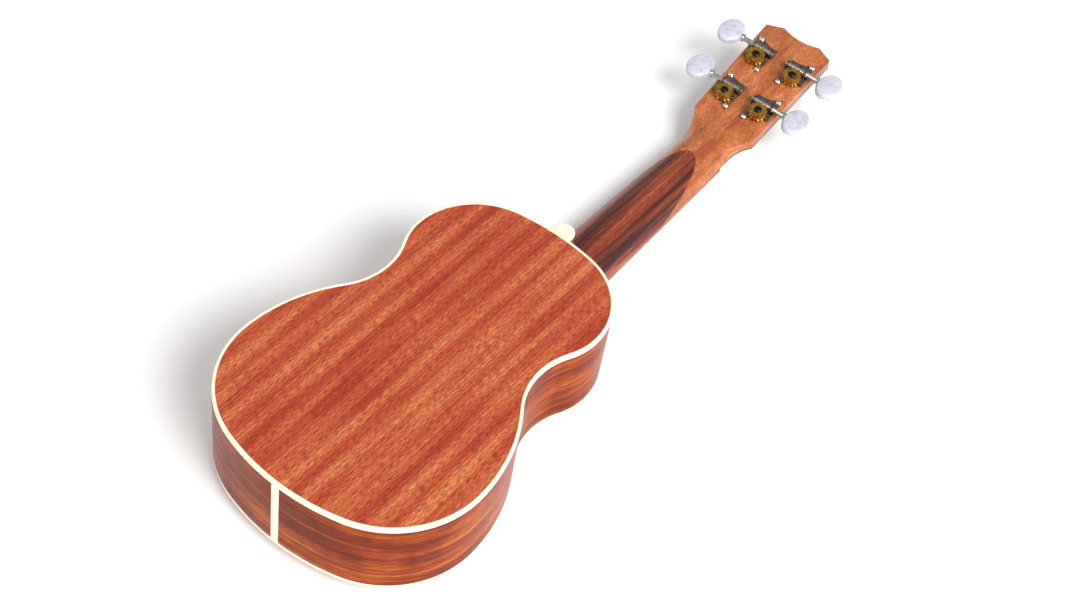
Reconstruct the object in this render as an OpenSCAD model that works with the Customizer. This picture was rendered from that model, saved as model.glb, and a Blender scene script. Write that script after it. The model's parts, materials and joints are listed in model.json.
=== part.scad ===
// Soprano ukulele, lying face down. X is across, Y runs from the tail to the headstock, and Z is up,
// out of the back. The origin is under the middle of its length, on the plane that it rests on.

/* [Body] */
// Length of the body, tail to neck joint
body_len = 248; // [220:1:300]
// Full width of the lower bout
lower_bout_w = 172.4; // [150:0.2:206]
// Full width of the upper bout
upper_bout_w = 135.5; // [116:0.5:160]
// Depth over the back and the soundboard
body_depth = 58; // [48:1:70]
// Thickness of the back
back_t = 2.2; // [1.6:0.1:3]
// Thickness of the soundboard
soundboard_t = 2; // [1.6:0.1:3]
// Thickness of the ribs, and width of the bindings that sit on them
rib_t = 2.1; // [1.6:0.1:3]
// Height of the binding at the back
back_binding_h = 3.8; // [2:0.1:5]
// Height of the binding at the soundboard
front_binding_h = 3; // [2:0.1:5]
// Width of the strip between the ribs at the tail
tail_strip_w = 5.6; // [3:0.2:10]
// Diameter of the sound hole
sound_hole_d = 50; // [40:1:60]

/* [Neck] */
// Vibrating length of the strings, with the 12th fret at the body
scale_len = 349; // [320:1:390]
// Width of the neck at the nut
nut_end_w = 35; // [32:0.5:42]
// Width of the neck at the body
body_end_w = 43; // [38:0.5:50]
// Depth of the neck wood at the nut
nut_end_depth = 14; // [12:0.5:18]
// Depth of the neck wood at the body
body_end_depth = 16.5; // [14:0.5:20]
// Width of the heel under its cap
heel_w = 14; // [10:0.5:20]
// How far the heel cap stands out from the body
heel_reach = 13.5; // [10:0.5:18]

/* [Headstock] */
// Lean of the headstock away from the string side, in degrees
head_angle = 11.4; // [6:0.2:15]
// Thickness of the headstock with its veneer
head_t = 9; // [8:0.5:14]
// Thickness of the veneer on its face
veneer_t = 1.2; // [0.6:0.1:2]
// Length from the nut to the two points of the crown
head_len = 118.7; // [110:0.1:130]

/* [Fretboard] */
// Thickness of the fretboard
fretboard_t = 3.2; // [2:0.1:5]
// Height of the fret wire over the fretboard
fret_h = 1; // [0.6:0.1:1.3]
// Length of the nut along the neck
nut_t = 5; // [4:0.5:7]

/* [Bridge and strings] */
// Length of the bridge across the body
bridge_w = 76; // [60:1:90]
// Width of the bridge along the body
bridge_l = 19; // [16:0.5:24]
// Height of the strings over the soundboard at the saddle
saddle_h = 9.2; // [8:0.1:12]
// Spread of the outer strings at the saddle
saddle_spread = 41; // [36:0.5:46]
// Spread of the outer strings at the nut
nut_spread = 26.6; // [24:0.2:30]

/* [Tuners] */
// Distance between the two rows of tuners
tuner_pitch = 40; // [36:1:46]
// Diameter of the string post
post_d = 6; // [5:0.2:7.2]
// Teeth of the gear, turned one tooth by one turn of the worm
gear_teeth = 14; // [12:1:18]
// Diameter of the worm over its thread
worm_d = 4.2; // [3.6:0.1:5]
// Width of a button across its shaft
button_w = 24; // [18:0.5:24]
// Length of a button along its shaft
button_l = 18; // [13:0.5:18]
// Thickness of a button
button_t = 7; // [5:0.5:9]

/* [Fits] */
// Radial clearance of a shaft in its bearing
running_gap = 0.05; // [0.02:0.01:0.1]
// Clearance between pieces that pass each other
free_gap = 0.3; // [0.2:0.05:0.5]

/* [Hidden] */
$fn = 96;
eps = 0.01;
far = 400;

// Colours
back_wood = "#b8562f";
side_wood = "#a3582f";
neck_wood = "#8a4a34";
splice_wood = "#b9703f";
dark_wood = "#4a2c22";
pale_wood = "#d9bd8c";
cream = "#f4efd8";
bone = "#efe8d2";
nickel = "#c4c4c6";
brass = "#c9993f";
pearl = "#e6e6ec";
black = "#1c1c1e";
nylon = "#e9e6dc";

// Instrument frame: Y from the tail, Z from the back's face, so the soundboard's face is at -body_depth
front_z = -body_depth;
nut_y = body_len + scale_len / 2;
saddle_y = nut_y - scale_len;
hinge_y = nut_y + nut_t;

// Strings, across the instrument from +X to -X: fourth, third, second, first
string_names = ["fourth", "third", "second", "first"];
string_d = [0.7, 0.9, 0.75, 0.6];
string_level = [0.5, 1 / 6, -1 / 6, -0.5];
thickest_string = 0.9;
rest_z = body_depth + saddle_h + thickest_string;

// The whole instrument in its own frame: origin under the middle of its length
overall_len = hinge_y + head_len * cos(head_angle);
module placed() { translate([0, -overall_len / 2, rest_z]) children(); }

// ---- Outline of the body: seven tangent arcs for each half, with one inset for every layer ----
lower_half = lower_bout_w / 2;
upper_half = upper_bout_w / 2;
lower_y = 0.269 * body_len;
upper_y = 0.7956 * body_len;
lower_tail_r = 0.2556 * body_len;
lower_waist_r = 0.4367 * body_len;
waist_r = 0.1907 * body_len;
upper_waist_r = 0.1835 * body_len;
upper_head_r = 0.1976 * body_len;

// Radius of an end arc that is centred on the axis, touches the end and touches a bout's arc inside
function end_r(cx, reach, r) = (cx * cx + reach * reach - r * r) / (2 * (reach - r));
tail_c = [lower_half - lower_tail_r, lower_y];
head_c = [upper_half - upper_head_r, upper_y];
lower_c = [lower_half - lower_waist_r, lower_y];
upper_c = [upper_half - upper_waist_r, upper_y];
tail_r = end_r(tail_c.x, lower_y, lower_tail_r);
head_r = end_r(head_c.x, body_len - upper_y, upper_head_r);

// Centre of the waist's arc, which touches both bouts from outside
bouts = upper_c - lower_c;
lower_reach = lower_waist_r + waist_r;
upper_reach = upper_waist_r + waist_r;
along = (lower_reach * lower_reach - upper_reach * upper_reach + bouts * bouts) / (2 * norm(bouts));
across = sqrt(lower_reach * lower_reach - along * along);
waist_c = lower_c + (along * bouts + across * [bouts.y, -bouts.x]) / norm(bouts);

function toward(a, b) = (b - a) / norm(b - a);
// Each arc: centre, radius, and 1 where it bulges outward or -1 at the waist
tail_axis = [0, tail_r];
head_axis = [0, body_len - head_r];
arcs = [
    [tail_axis, tail_r, 1], [tail_c, lower_tail_r, 1], [lower_c, lower_waist_r, 1], [waist_c, waist_r, -1],
    [upper_c, upper_waist_r, 1], [head_c, upper_head_r, 1], [head_axis, head_r, 1]
];
// Direction from each arc's centre to the point where the next arc begins
joins = [
    toward(tail_axis, tail_c), [1, 0], toward(lower_c, waist_c), toward(waist_c, upper_c), [1, 0],
    toward(head_axis, head_c)
];
function arc_r(i, inset) = arcs[i][1] - arcs[i][2] * inset;
function join_pt(i, inset) =
    i == 5 ? head_axis + joins[5] * arc_r(6, inset) : arcs[i][0] + joins[i] * arc_r(i, inset);

// A rectangle on the outer side of a chord, lapping a little over the inner side
module beyond_chord(a, b, lap = 3) {
    u = toward(a, b);
    n = [u.y, -u.x];
    reach = norm(b - a);
    polygon([a + n * reach, b + n * reach, b - n * lap, a - n * lap]);
}
function flip(p) = [-p.x, p.y];
// The arcs stop this short of the corners that they join at, so that each corner is one clean edge
arc_relief = 0.006;
// The part of a circle that bulges beyond its chord
module bulge(centre, r, a, b) {
    intersection() {
        translate(centre) circle(r - arc_relief);
        beyond_chord(a, b);
    }
}
module outline(inset) {
    right = [for (i = [0:5]) join_pt(i, inset)];
    left = [for (i = [5:-1:0]) flip(right[i])];
    difference() {
        union() {
            polygon(concat(right, left));
            bulge(tail_axis, arc_r(0, inset), left[5], right[0]);
            bulge(head_axis, arc_r(6, inset), right[5], left[0]);
            for (way = [0, 1], i = [1, 2, 4, 5])
                mirror([way, 0]) bulge(arcs[i][0], arc_r(i, inset), right[i - 1], right[i]);
        }
        for (way = [0, 1])
            mirror([way, 0]) translate(waist_c) circle(arc_r(3, inset) - arc_relief / 2);
    }
}
// One layer of the body between two heights
module layer(z_low, z_high, inset) {
    translate([0, 0, z_low]) linear_extrude(z_high - z_low) outline(inset);
}
module ring(z_low, z_high, outer, inner) {
    translate([0, 0, z_low]) linear_extrude(z_high - z_low) difference() {
        outline(outer);
        outline(inner);
    }
}
// A block between two corners
module block(a, b) { translate(a) cube(b - a); }

// ---- Inside heights ----
inner_top = -back_t;
inner_bottom = front_z + soundboard_t;
rib_top = -back_binding_h;
rib_bottom = front_z + front_binding_h;
hole_y = 0.665 * body_len;
hole_r = sound_hole_d / 2;

// ---- Body pieces ----
module back_plate() { color(back_wood) placed() layer(-back_t, 0, rib_t); }

module soundboard() {
    color(side_wood) placed() difference() {
        layer(front_z, inner_bottom, rib_t);
        translate([0, hole_y, front_z - 1]) cylinder(h = soundboard_t + 2, r = hole_r);
        rosette_ring(0);
    }
}

rosette_gap = 5;
rosette_w = 3;
rosette_t = 0.8;
module rosette_ring(sink) {
    translate([0, hole_y, front_z - (sink > 0 ? 0 : eps)]) rotate_extrude()
        translate([hole_r + rosette_gap, 0]) square([rosette_w, rosette_t + (sink > 0 ? 0 : eps)]);
}
module rosette() { color(cream) placed() rosette_ring(1); }

module rib(side) {
    intersection() {
        ring(rib_bottom, rib_top, 0, rib_t);
        block([side > 0 ? 0 : -far, -far, front_z], [side > 0 ? far : 0, far, 0]);
    }
}
module rib_cuts() {
    block([-tail_strip_w / 2, -far, front_z], [tail_strip_w / 2, body_len / 2, 0]);
    dowel_bores();
}
module rib_right() { color(side_wood) placed() difference() { rib(1); rib_cuts(); } }
module rib_left() { color(side_wood) placed() difference() { rib(-1); rib_cuts(); } }
module tail_strip() {
    color(cream) placed() intersection() {
        ring(rib_bottom, rib_top, 0, rib_t);
        block([-tail_strip_w / 2, -far, front_z], [tail_strip_w / 2, body_len / 2, 0]);
    }
}
module back_binding() { color(cream) placed() ring(rib_top, 0, 0, rib_t); }
module front_binding() { color(cream) placed() ring(front_z, rib_bottom, 0, rib_t); }

lining_h = 7;
lining_t = 4.5;
neck_block_w = 52;
neck_block_l = 26;
tail_block_w = 48;
tail_block_l = 12;
module block_zone(grow) {
    neck_half = neck_block_w / 2 + grow;
    tail_half = tail_block_w / 2 + grow;
    block([-neck_half, body_len - neck_block_l - grow, -far], [neck_half, far, far]);
    block([-tail_half, -far, -far], [tail_half, tail_block_l + grow, far]);
}
module linings() {
    color(pale_wood) placed() difference() {
        union() {
            ring(inner_top - lining_h, inner_top, rib_t, rib_t + lining_t);
            ring(inner_bottom, inner_bottom + lining_h, rib_t, rib_t + lining_t);
        }
        block_zone(free_gap);
    }
}
module neck_block() {
    color(pale_wood) placed() difference() {
        intersection() {
            layer(inner_bottom, inner_top, rib_t);
            block([-neck_block_w / 2, body_len - neck_block_l, -far], [neck_block_w / 2, far, far]);
        }
        dowel_bores();
    }
}
module tail_block() {
    color(pale_wood) placed() intersection() {
        layer(inner_bottom, inner_top, rib_t);
        block([-tail_block_w / 2, -far, -far], [tail_block_w / 2, tail_block_l, far]);
    }
}

brace_w = 7;
back_brace_h = 10;
front_brace_h = 8;
// A bar across the body with its ends let in between the linings
module cross_brace(y, z_low, z_high) {
    intersection() {
        layer(z_low, z_high, rib_t + lining_t + free_gap);
        block([-far, y - brace_w / 2, z_low], [far, y + brace_w / 2, z_high]);
    }
}
// Where the back's three braces lie, as shares of the body's length
back_brace_places = [0.22, 0.5, 0.8];
module back_braces() {
    color(pale_wood) placed()
        for (share = back_brace_places)
            cross_brace(share * body_len, inner_top - back_brace_h, inner_top);
}
fan_w = 5;
fan_h = 5;
fan_spread = 24;
fan_lean = 8;
fan_gap = 3;
module soundboard_braces() {
    brace_off = hole_r + rosette_gap + rosette_w + brace_w;
    fan_from = saddle_y + bridge_plate_l / 2;
    fan_to = hole_y - brace_off - brace_w / 2;
    color(pale_wood) placed() {
        for (way = [-1, 1])
            cross_brace(hole_y + way * brace_off, inner_bottom, inner_bottom + front_brace_h);
        for (way = [-1, 0, 1])
            translate([way * fan_spread, fan_from + free_gap, inner_bottom]) rotate([0, 0, -fan_lean * way])
                translate([-fan_w / 2, 0, 0]) cube([fan_w, fan_to - fan_from - fan_gap, fan_h]);
    }
}
bridge_plate_l = 26;
bridge_plate_t = 1.8;
bridge_plate_margin = 6;
module bridge_plate() {
    half_w = bridge_w / 2 + bridge_plate_margin;
    color(pale_wood) placed()
        translate([-half_w, saddle_y - bridge_plate_l / 2, inner_bottom])
            cube([2 * half_w, bridge_plate_l, bridge_plate_t]);
}

// ---- Neck ----
// The round of the neck's back is a cone whose section at the nut and at the body fits width and depth
function back_r(w, depth) = (w * w / 4 + depth * depth) / (2 * depth);
nut_r = back_r(nut_end_w, nut_end_depth);
root_r = back_r(body_end_w, body_end_depth);
nut_axis_z = front_z + nut_end_depth - nut_r;
root_axis_z = front_z + body_end_depth - root_r;
neck_run = nut_y - body_len;
axis_lean = atan((nut_axis_z - root_axis_z) / neck_run);
r_slope = (nut_r - root_r) / neck_run;
neck_tail = 4;
neck_tip = 50;
function neck_half_w(y) = body_end_w / 2 + (nut_end_w - body_end_w) / 2 * (y - body_len) / neck_run;

module neck_cone() {
    start_r = root_r - neck_tail * r_slope;
    end_r = root_r + (neck_run + neck_tip) * r_slope;
    intersection() {
        translate([0, body_len - neck_tail, root_axis_z - neck_tail * tan(axis_lean)])
            rotate([axis_lean - 90, 0, 0])
                cylinder(h = neck_run + neck_tail + neck_tip, r1 = start_r, r2 = end_r);
        block([-far, 0, front_z], [far, far * 2, 0]);
    }
}
// Everything on the head side of the long joint between the shaft and the headstock
splice_y = 407;
splice_angle = 14;
module head_side() {
    translate([0, splice_y, front_z + nut_end_depth]) rotate([splice_angle, 0, 0])
        block([-far, -far, -far], [far, far, 0]);
}
module neck_shaft() {
    color(neck_wood) placed() difference() {
        neck_cone();
        head_side();
        layer(front_z - 1, 0, 0);
    }
}

cap_t = 1.8;
cap_top = -back_binding_h;
heel_top = cap_top - cap_t;
heel_r = heel_w / 2;
heel_centre_y = body_len + heel_reach - heel_r;
heel_straight = 18;
heel_fillet_r = 26;
heel_flare_w = 19;
// Plan of the heel under its cap: straight sides from the body and a round tip
module heel_plan() {
    translate([0, heel_centre_y]) circle(heel_r);
    translate([-heel_r, body_len - neck_tail]) square([heel_w, heel_centre_y - body_len + neck_tail]);
}
// Half of the heel's front view: straight down from the cap, then flaring out to the neck
module heel_profile() {
    fillet_z = heel_top - heel_straight;
    difference() {
        translate([0, front_z]) square([heel_flare_w, heel_top - front_z]);
        translate([heel_r + heel_fillet_r, fillet_z]) circle(heel_fillet_r);
        translate([heel_r, fillet_z]) square([far, far]);
    }
}
module heel() {
    color(neck_wood) placed() difference() {
        translate([0, heel_centre_y, 0]) {
            rotate_extrude() heel_profile();
            rotate([90, 0, 0]) linear_extrude(heel_centre_y - body_len + neck_tail) {
                heel_profile();
                mirror([1, 0]) heel_profile();
            }
        }
        neck_cone();
        layer(front_z - 1, 0, 0);
        dowel_bores();
    }
}
module heel_cap() {
    color(cream) placed() difference() {
        translate([0, 0, heel_top]) linear_extrude(cap_t) heel_plan();
        layer(front_z, 0, 0);
    }
}

dowel_r = 3;
dowel_len = 30;
dowel_heights = [-16, -30];
dowel_start = body_len - 20;
module dowels(grow) {
    for (z = dowel_heights)
        translate([0, dowel_start - grow, z]) rotate([-90, 0, 0])
            cylinder(h = dowel_len + 2 * grow, r = dowel_r);
}
module dowel_bores() { dowels(1); }
module heel_dowels() { color(pale_wood) placed() dowels(0); }

// ---- Headstock frame: Y along it from the nut, Z out of its back, with its face at zero ----
module on_head() { placed() in_head() children(); }
module in_head() { translate([0, hinge_y, front_z]) rotate([head_angle, 0, 0]) children(); }
function head_pt(x, v, w) = [
    x,
    hinge_y + v * cos(head_angle) - w * sin(head_angle),
    front_z + v * sin(head_angle) + w * cos(head_angle)
];

neck_edge = neck_half_w(hinge_y);
shoulder = [neck_edge + 7, 22.2];
flare_start = 3;
head_end = [26.9, head_len - 5];
crown_point = [14.8, head_len];
crown_dip = 2.9;
head_root = -8;
// Radius of an arc that leaves a straight line as its tangent and reaches a point
function arc_through(off, run) = (off * off + run * run) / (2 * off);
flare_r = arc_through(shoulder.x - neck_edge, shoulder.y - flare_start);
crown_r = arc_through(crown_dip, crown_point.x);
module head_outline(root) {
    difference() {
        for (way = [0, 1])
            mirror([way, 0]) difference() {
                polygon([
                    [0, root], [neck_edge, root], [neck_edge, flare_start], shoulder, head_end, crown_point,
                    [0, head_len]
                ]);
                translate([neck_edge + flare_r, flare_start]) circle(flare_r);
            }
        translate([0, head_len - crown_dip + crown_r]) circle(crown_r);
    }
}

// The cheek on each side, where the flat back narrows into the neck
cheek_from = [11.4, 0.7];
cheek_to = [shoulder.x + 0.4, shoulder.y];
cheek_run = 8;
module cheek_cuts() {
    lean = atan2(cheek_to.y - cheek_from.y, cheek_to.x - cheek_from.x);
    edge_len = norm(cheek_to - cheek_from);
    section = [[0, head_t + eps], [-cheek_run, -1], [-far, -1], [-far, head_t + eps]];
    for (way = [0, 1])
        mirror([way, 0, 0]) translate([cheek_from.x, cheek_from.y, 0]) rotate([90, 0, lean + 90])
            translate([0, 0, -edge_len]) linear_extrude(2 * edge_len) polygon(section);
}

// ---- Tuner places: row 0 is nearer the nut; the side is 1 at +X and -1 at -X ----
string_side = [1, 1, -1, -1];
string_row = [0, 1, 1, 0];
first_row_v = 42.2;
first_row_x = 14;
row_widens = 1.2;
function post_x(k) = string_side[k] * (first_row_x + row_widens * string_row[k]);
function post_v(k) = first_row_v + tuner_pitch * string_row[k];
module at_tuner(k) {
    translate([post_x(k), post_v(k), head_t]) mirror([string_side[k] > 0 ? 0 : 1, 0, 0]) children();
}

plate_t = 1;
post_r = post_d / 2;
bush_r = post_r + 1.1;
bush_len = 6;
bush_rim_r = bush_r + 1.4;
bush_rim_t = 1.2;
screw_places = [[6.2, 17.6], [-6.4, -7.2]];
screw_r = 1;
screw_len = 7;
screw_head_r = 2.1;
screw_head_t = 1.5;
module head_bores() {
    for (k = [0:3]) {
        translate([post_x(k), post_v(k), -1]) cylinder(h = head_t + 2, r = bush_r);
        at_tuner(k) for (p = screw_places)
            translate([p.x, p.y, plate_t - screw_len]) cylinder(h = screw_len, r = screw_r);
    }
}
module headstock() {
    color(splice_wood) placed() difference() {
        union() {
            intersection() {
                neck_cone();
                head_side();
            }
            intersection() {
                in_head() difference() {
                    linear_extrude(head_t) head_outline(head_root);
                    cheek_cuts();
                }
                block([-far, 0, front_z], [far, far * 2, 0]);
            }
        }
        in_head() {
            block([-far, 0, -far], [far, far, veneer_t]);
            head_bores();
        }
    }
}
module headstock_veneer() {
    color(dark_wood) on_head() difference() {
        linear_extrude(veneer_t) head_outline(0);
        head_bores();
    }
}

// ---- Fretboard, frets, dots and nut ----
board_end = body_len - 8;
board_face = front_z - fretboard_t;
tang_w = 0.6;
tang_h = 1.5;
fret_count = 12;
marked_frets = [5, 7, 10];
dot_r = 2.5;
dot_t = 1;
function fret_y(n) = nut_y - scale_len * (1 - pow(2, -n / 12));
module fret_tangs() {
    for (n = [1:fret_count]) {
        half_w = neck_half_w(fret_y(n));
        y = fret_y(n);
        block([-half_w, y - tang_w / 2, board_face], [half_w, y + tang_w / 2, board_face + tang_h]);
    }
}
module dots() {
    for (n = marked_frets)
        translate([0, (fret_y(n) + fret_y(n - 1)) / 2, board_face]) cylinder(h = dot_t, r = dot_r);
}
module fretboard() {
    color(neck_wood) placed() difference() {
        translate([0, 0, board_face]) linear_extrude(fretboard_t) polygon([
            [-neck_half_w(board_end), board_end], [neck_half_w(board_end), board_end],
            [nut_end_w / 2, nut_y], [-nut_end_w / 2, nut_y]
        ]);
        translate([0, 0, -eps]) fret_tangs();
        fret_tangs();
        translate([0, 0, -eps]) dots();
        dots();
    }
}
module frets() {
    color(nickel) placed() {
        fret_tangs();
        for (n = [1:fret_count])
            intersection() {
                translate([0, fret_y(n), board_face]) rotate([0, 90, 0])
                    cylinder(h = 2 * neck_half_w(fret_y(n)), r = fret_h, center = true);
                block([-far, 0, front_z - far], [far, far * 2, board_face]);
            }
    }
}
module fret_dots() { color(pearl) placed() dots(); }

nut_string_h = fretboard_t + fret_h + 0.2;
nut_top_h = nut_string_h + 0.8;
slot_gap = 0.15;
function nut_x(k) = string_level[k] * nut_spread;
function saddle_x(k) = string_level[k] * saddle_spread;
module nut() {
    color(bone) placed() difference() {
        block([-nut_end_w / 2, nut_y, front_z - nut_top_h], [nut_end_w / 2, hinge_y, front_z]);
        for (k = [0:3])
            block([nut_x(k) - string_d[k] / 2 - slot_gap, nut_y - 1, front_z - far],
                [nut_x(k) + string_d[k] / 2 + slot_gap, hinge_y + 1, front_z - nut_string_h]);
    }
}

// ---- Bridge, saddle and strings; heights here are over the soundboard, toward the strings ----
bridge_h = 7;
wing_h = 3;
wing_l = 11;
tie_l = 7;
tie_h = 4;
tie_bore_r = 0.75;
ramp_h = 3.2;
saddle_r = 1.3;
saddle_foot = 3.6;
bridge_tail = saddle_y - bridge_l + 6;
module over_board(y_a, y_b, half_w, h_a, h_b) {
    block([-half_w, y_a, front_z - h_b], [half_w, y_b, front_z - h_a]);
}
module bridge() {
    color(dark_wood) placed() difference() {
        union() {
            over_board(bridge_tail, bridge_tail + bridge_l, bridge_w / 2 - wing_l, 0, bridge_h);
            over_board(bridge_tail, bridge_tail + bridge_l, bridge_w / 2, 0, wing_h);
        }
        over_board(saddle_y - saddle_r, saddle_y + saddle_r, bridge_w / 2 - wing_l - 2, saddle_foot, far);
        over_board(bridge_tail + tie_l, saddle_y - saddle_r + eps, bridge_w / 2 - wing_l - 2, ramp_h, far);
        for (k = [0:3])
            translate([saddle_x(k), bridge_tail - 1, front_z - tie_h]) rotate([-90, 0, 0])
                cylinder(h = tie_l + 2, r = tie_bore_r);
    }
}
module saddle() {
    half = bridge_w / 2 - wing_l - 2;
    color(bone) placed() {
        over_board(saddle_y - saddle_r, saddle_y + saddle_r, half, saddle_foot, saddle_h - saddle_r);
        translate([0, saddle_y, front_z - saddle_h + saddle_r]) rotate([0, 90, 0])
            cylinder(h = 2 * half, r = saddle_r, center = true);
    }
}

// A sweep along rings, each with a centre, a direction and a radius, closed by a flat face at each end
sweep_sides = 8;
function ring_points(centre, way, r) =
    let (
        up = toward([0, 0, 0], cross([1, 0, 0], way)),
        side = cross(way, up)
    )
    [for (i = [0:sweep_sides - 1])
        let (a = 360 * i / sweep_sides)
        centre + r * (cos(a) * side + sin(a) * up)];
module sweep(rings) {
    last = (len(rings) - 1) * sweep_sides;
    polyhedron(
        points = [for (ring = rings) each ring_points(ring[0], ring[1], ring[2])],
        faces = concat(
            [[for (i = [0:sweep_sides - 1]) i]],
            [for (row = [0:sweep_sides:last - 1], i = [0:sweep_sides - 1])
                let (a = row + i, b = row + (i + 1) % sweep_sides)
                each [[a, a + sweep_sides, b], [b, a + sweep_sides, b + sweep_sides]]],
            [[for (i = [sweep_sides - 1:-1:0]) last + i]]
        )
    );
}
// The rings along a bend of radius r at a corner
bend_steps = 4;
function bend_rings(a, corner, b, r, d) =
    let (
        u = toward(a, corner),
        turn = acos(u * toward(corner, b)),
        inward = cross(toward([0, 0, 0], cross(u, toward(corner, b))), u),
        centre = corner - u * r * tan(turn / 2) + inward * r
    )
    [for (i = [0:bend_steps])
        let (t = turn * i / bend_steps)
        [centre + r * (sin(t) * u - cos(t) * inward), cos(t) * u + sin(t) * inward, d / 2]];
string_w = -3;
groove_r = post_r - 0.5;
turn_gap = 0.02;
knot_r = 1.5;
tie_angle = 46;
string_bend_r = 2;
// The string bends over the saddle about its round crown, so it touches the crown and doesn't cut it
function saddle_bend_r(k) = saddle_r + string_d[k] / 2 + turn_gap;
function saddle_bend(k) =
    let (
        reach = saddle_bend_r(k) / cos(tie_angle / 2),
        crown_z = front_z - saddle_h + saddle_r
    )
    [saddle_x(k), saddle_y - reach * sin(tie_angle / 2), crown_z - reach * cos(tie_angle / 2)];
function tie_bend(k) =
    let (drop = front_z - tie_h - saddle_bend(k).z)
    [saddle_x(k), saddle_bend(k).y - drop / tan(tie_angle), front_z - tie_h];
function nut_back(k) = [nut_x(k), hinge_y + string_d[k] / 2, front_z - nut_string_h - string_d[k] / 2];
// The string's end, where it runs on to its post from the side of the middle line
function post_touch(k) =
    let (
        from = [nut_x(k), 0],
        to = [post_x(k), post_v(k)],
        r = groove_r + running_gap + string_d[k] / 2,
        turn = string_side[k] * asin(r / norm(to - from)),
        heading = atan2(to.y - from.y, to.x - from.x) + turn,
        run = sqrt((to - from) * (to - from) - r * r)
    )
    head_pt(from.x + run * cos(heading), from.y + run * sin(heading), string_w);
module string(k) {
    d = string_d[k];
    start = [saddle_x(k), bridge_tail - knot_r, front_z - tie_h];
    path = [start, tie_bend(k), saddle_bend(k), nut_back(k), post_touch(k)];
    radii = [0, string_bend_r, saddle_bend_r(k), string_bend_r];
    first_way = toward(path[0], path[1]);
    color(nylon) placed() sweep(concat(
        [for (a = [-75:30:45]) [start + knot_r * sin(a) * first_way, first_way, knot_r * cos(a)]],
        [[start + knot_r * first_way, first_way, d / 2]],
        [for (i = [1:3]) each bend_rings(path[i - 1], path[i], path[i + 1], radii[i], d)],
        [[path[4], toward(path[3], path[4]), d / 2]]
    ));
}

// ---- Tuners; in a tuner's own frame X is outward, Y toward the crown and Z up from the wood ----
worm_r = worm_d / 2;
gear_r = 6.6;
gear_t = 5;
gear_lift = plate_t + 0.4;
worm_z = gear_lift + gear_t / 2;
throat_r = worm_r + 0.1;
worm_v = gear_r + 1.3;
journal_r = 1.5;
lug_t = 1.2;
lug_w = 5;
inner_lug_x = -9;
outer_lug_x = 5.8;
plate_corners = [[-9.2, 15.5], [7.4, 20.6], [9.2, -1.2], [-7.4, -9.6]];
scallop_dip = 2.2;
// The round bite out of one edge of the plate
module scallop(a, b) {
    half = norm(b - a) / 2;
    r = arc_through(scallop_dip, half);
    u = toward(a, b);
    translate((a + b) / 2 + [-u.y, u.x] * (r - scallop_dip)) circle(r);
}
module lug(x) {
    translate([x, worm_v, 0]) {
        block([0, -lug_w / 2, 0], [lug_t, lug_w / 2, worm_z]);
        translate([0, 0, worm_z]) rotate([0, 90, 0]) cylinder(h = lug_t, r = lug_w / 2);
    }
}
module tuner_plate(k) {
    color(nickel) on_head() at_tuner(k) difference() {
        union() {
            linear_extrude(plate_t) difference() {
                polygon(plate_corners);
                scallop(plate_corners[0], plate_corners[1]);
                scallop(plate_corners[2], plate_corners[3]);
            }
            lug(inner_lug_x);
            lug(outer_lug_x);
        }
        translate([0, 0, -1]) cylinder(h = plate_t + 2, r = post_r + running_gap);
        for (p = screw_places) translate([p.x, p.y, -1]) cylinder(h = plate_t + 2, r = screw_r);
        translate([inner_lug_x - 1, worm_v, worm_z]) rotate([0, 90, 0])
            cylinder(h = outer_lug_x - inner_lug_x + lug_t + 2, r = journal_r + running_gap);
    }
}
module tuner_screws() {
    color(nickel) on_head() for (k = [0:3]) at_tuner(k) for (p = screw_places) translate([p.x, p.y, 0]) {
        translate([0, 0, plate_t - screw_len]) cylinder(h = screw_len, r = screw_r);
        translate([0, 0, plate_t]) difference() {
            intersection() {
                cylinder(h = screw_head_t, r = screw_head_r);
                translate([0, 0, -1]) sphere(r = screw_head_r + 0.5);
            }
            translate([0, 0, screw_head_t]) cube([3.2, 0.5, 1], center = true);
        }
    }
}

button_x = 26.2;
thread_pitch = 1.45;
thread_from = inner_lug_x + lug_t + free_gap;
thread_to = outer_lug_x - free_gap;
thread_turns = floor((thread_to - thread_from) / thread_pitch);
shaft_r = 2;
shaft_from = outer_lug_x + lug_t + free_gap;
button_near = button_x - button_l / 2;
collar_t = 1.8;
collar_r = 2.9;
spigot_r = 1.4;
spigot_len = 8;
// Half section of the worm shaft along its axis, from the inner lug to the button
thread_root_r = worm_r - 0.55;
worm_section = concat(
    [[0, inner_lug_x - 0.6], [journal_r, inner_lug_x - 0.6], [journal_r, thread_from]],
    [for (i = [0:thread_turns - 1]) for (p = [[0, 0.1], [1, 0.4], [1, 0.7], [0, 1]])
        [p.x > 0 ? worm_r : thread_root_r, thread_from + (i + p.y) * thread_pitch]],
    [
        [journal_r, thread_to], [journal_r, shaft_from], [shaft_r, shaft_from],
        [shaft_r, button_near - collar_t], [collar_r, button_near - collar_t], [collar_r, button_near],
        [spigot_r, button_near], [spigot_r, button_near + spigot_len], [0, button_near + spigot_len]
    ]);
module tuner_worm(k) {
    color(nickel) on_head() at_tuner(k) translate([0, worm_v, worm_z]) rotate([0, 90, 0])
        rotate_extrude() polygon(worm_section);
}

button_tip = -8;
button_face_r = 30;
button_side_reach = 2.9;
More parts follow.
